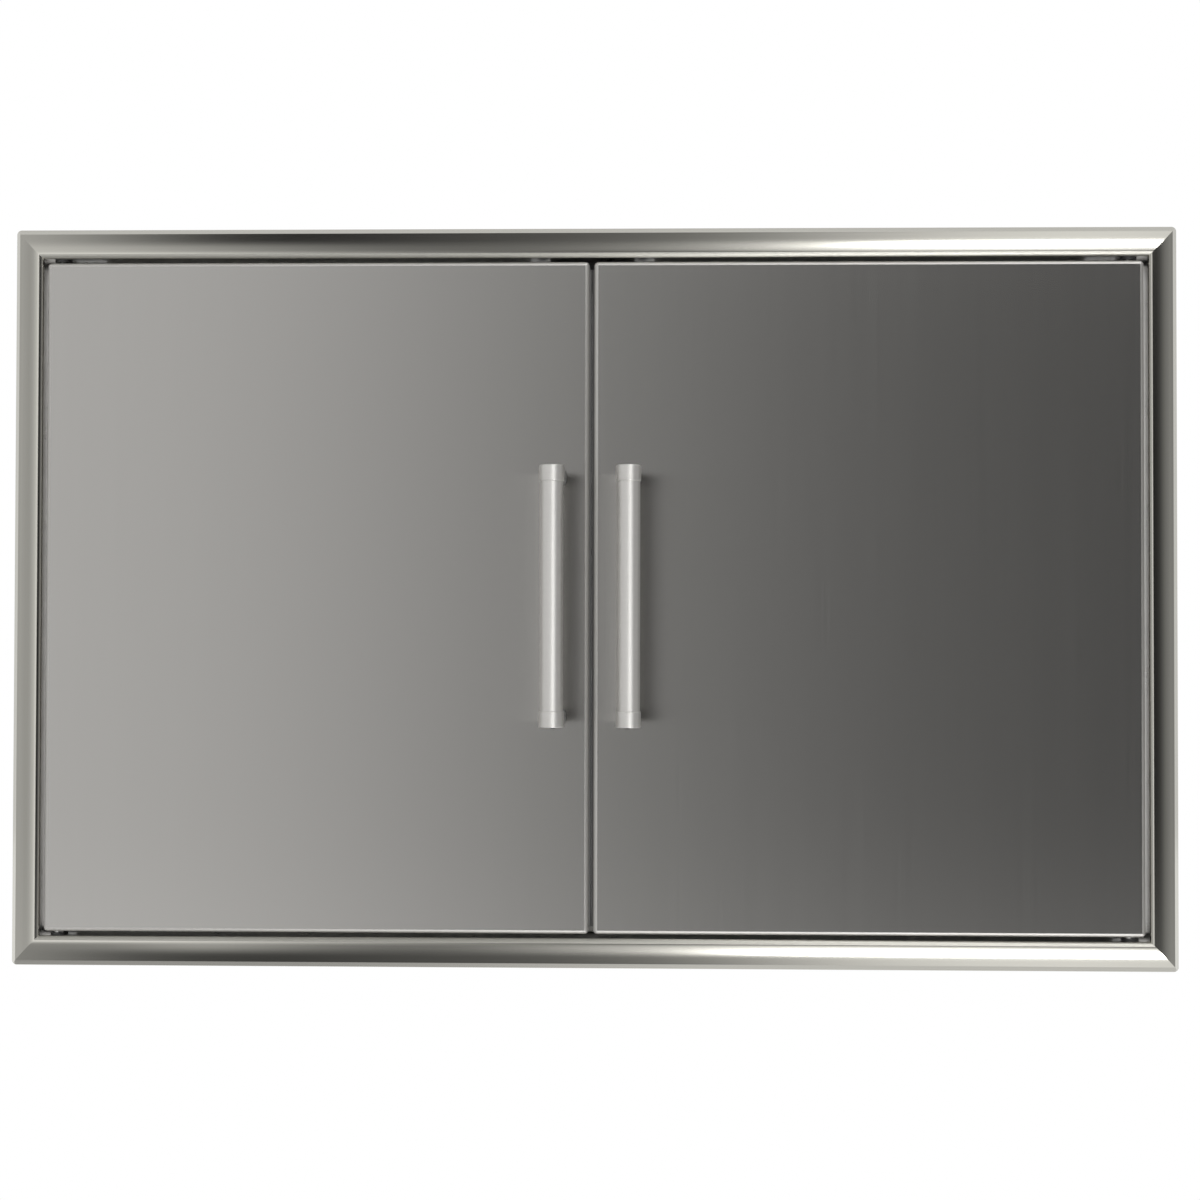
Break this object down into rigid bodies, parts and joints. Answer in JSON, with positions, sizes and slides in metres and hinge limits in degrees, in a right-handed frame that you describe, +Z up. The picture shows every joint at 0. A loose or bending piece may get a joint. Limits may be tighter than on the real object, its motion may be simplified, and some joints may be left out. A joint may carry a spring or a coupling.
{
  "type": "outdoor kitchen access door",
  "caption": "Double access door for an outdoor kitchen island: mitred stainless trim frame with flush swing doors, vertical bar handles, sprung pivot pins and a magnetic catch.",
  "frame": {"origin": "centre of the island's cut-out, in the plane of the island's face that the trim lies on", "axes": "+X to the right seen from the front, +Y into the island, +Z up; the doors face -Y"},
  "size_m": [0.838, 0.0977, 0.533],
  "materials": {
    "trim_steel": "polished, lightly brushed",
    "door_steel": "vertical brushed",
    "handle_steel": "satin",
    "inner_steel": "mill finish",
    "pin_steel": "turned",
    "spring_steel": "bright wire",
    "plated_steel": "zinc plated",
    "magnet": "dark ferrite",
    "acetal": "black",
    "catch_plastic": "matte black",
    "rubber": "matte",
    "seal_rubber": "smooth"
  },
  "bodies": {
    "trim_frame": {"trim_top_rail": "trim_steel", "trim_bottom_rail": "trim_steel", "trim_left_stile": "trim_steel", "trim_right_stile": "trim_steel", "upper_stop_left": "inner_steel", "upper_stop_right": "inner_steel", "lower_stop": "inner_steel", "stop_bumpers": "rubber", "upper_bushing_left": "acetal", "upper_bushing_right": "acetal", "lower_bushing_left": "acetal", "lower_bushing_right": "acetal", "catch_housing": "catch_plastic", "catch_magnets": "magnet", "catch_pole_plates": "plated_steel", "catch_screws": "plated_steel"},
    "left_door": {"left_door_skin": "door_steel", "left_door_liner": "inner_steel", "left_meeting_seal": "seal_rubber", "left_handle_stiffener": "inner_steel", "left_upper_hinge_bracket": "inner_steel", "left_lower_hinge_block": "inner_steel", "left_lower_pivot_pin": "pin_steel", "left_thrust_washer": "pin_steel", "left_handle_bar": "handle_steel", "left_handle_upper_post": "handle_steel", "left_handle_lower_post": "handle_steel", "left_handle_screws": "plated_steel", "left_strike_plate": "plated_steel", "left_strike_rivets": "plated_steel", "left_pin_spring": "spring_steel"},
    "left_sprung_pin": {"left_upper_pivot_pin": "pin_steel", "left_pin_thumb_stud": "pin_steel"},
    "right_door": {"right_door_skin": "door_steel", "right_door_liner": "inner_steel", "right_meeting_seal": "seal_rubber", "right_handle_stiffener": "inner_steel", "right_upper_hinge_bracket": "inner_steel", "right_lower_hinge_block": "inner_steel", "right_lower_pivot_pin": "pin_steel", "right_thrust_washer": "pin_steel", "right_handle_bar": "handle_steel", "right_handle_upper_post": "handle_steel", "right_handle_lower_post": "handle_steel", "right_handle_screws": "plated_steel", "right_strike_plate": "plated_steel", "right_strike_rivets": "plated_steel", "right_pin_spring": "spring_steel"},
    "right_sprung_pin": {"right_upper_pivot_pin": "pin_steel", "right_pin_thumb_stud": "pin_steel"}
  },
  "joints": [
    {"name": "left_door_swing", "type": "hinge", "parent": "trim_frame", "child": "left_door", "pos_m": [-0.3838, -0.004, 0], "axis": [0, 0, -1], "range_deg": [0, 105]},
    {"name": "left_pin_slide", "type": "slide", "parent": "left_door", "child": "left_sprung_pin", "axis": [0, 0, -1], "range_m": [0, 0.0084], "stiffness_N_per_m": 400, "springref_m": -0.0125, "deforming": ["left_pin_spring"]},
    {"name": "right_door_swing", "type": "hinge", "parent": "trim_frame", "child": "right_door", "pos_m": [0.3838, -0.004, 0], "axis": [0, 0, 1], "range_deg": [0, 105]},
    {"name": "right_pin_slide", "type": "slide", "parent": "right_door", "child": "right_sprung_pin", "axis": [0, 0, -1], "range_m": [0, 0.0084], "stiffness_N_per_m": 400, "springref_m": -0.0125, "deforming": ["right_pin_spring"]}
  ]
}
